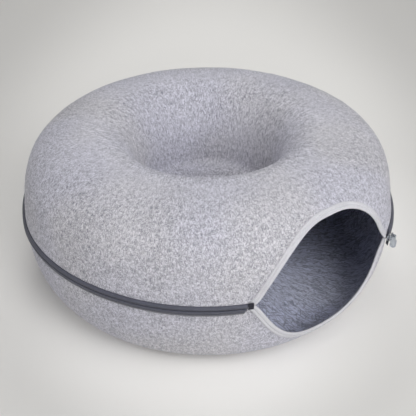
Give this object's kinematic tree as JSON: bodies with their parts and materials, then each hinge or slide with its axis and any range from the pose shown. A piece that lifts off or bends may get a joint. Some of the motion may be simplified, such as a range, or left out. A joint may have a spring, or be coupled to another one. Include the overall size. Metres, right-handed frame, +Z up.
{
  "type": "felt cat cave",
  "caption": "Doughnut-shaped felt cat cave with a zip round its middle, a bound entrance into its ring tunnel and a felt-floored well on top.",
  "frame": {"origin": "on the ring's axis, at the ground that the cave rests on", "axes": "+Z up along the ring's axis; the entrance faces 53.4 degrees from +X towards -Y; -Y faces the viewer of the picture"},
  "size_m": [0.4998, 0.4996, 0.205],
  "materials": {
    "felt": "heather grey needled felt, matt, with dark flecks",
    "binding": "pale grey woven binding tape, matt",
    "zip_tape": "dark slate woven zip tape",
    "zip_coil": "dark nylon coil",
    "zip_metal": "bright silver plating"
  },
  "bodies": {
    "root": {"upper_shell": "felt", "lower_shell": "felt", "upper_binding": "binding", "lower_binding": "binding", "zip_tape_upper": "zip_tape", "zip_tape_lower": "zip_tape", "zip_end_tab": "zip_tape", "zip_tail": "zip_tape", "zip_coil": "zip_coil", "zip_slider": "zip_metal", "zip_pull": "zip_metal"}
  },
  "joints": []
}
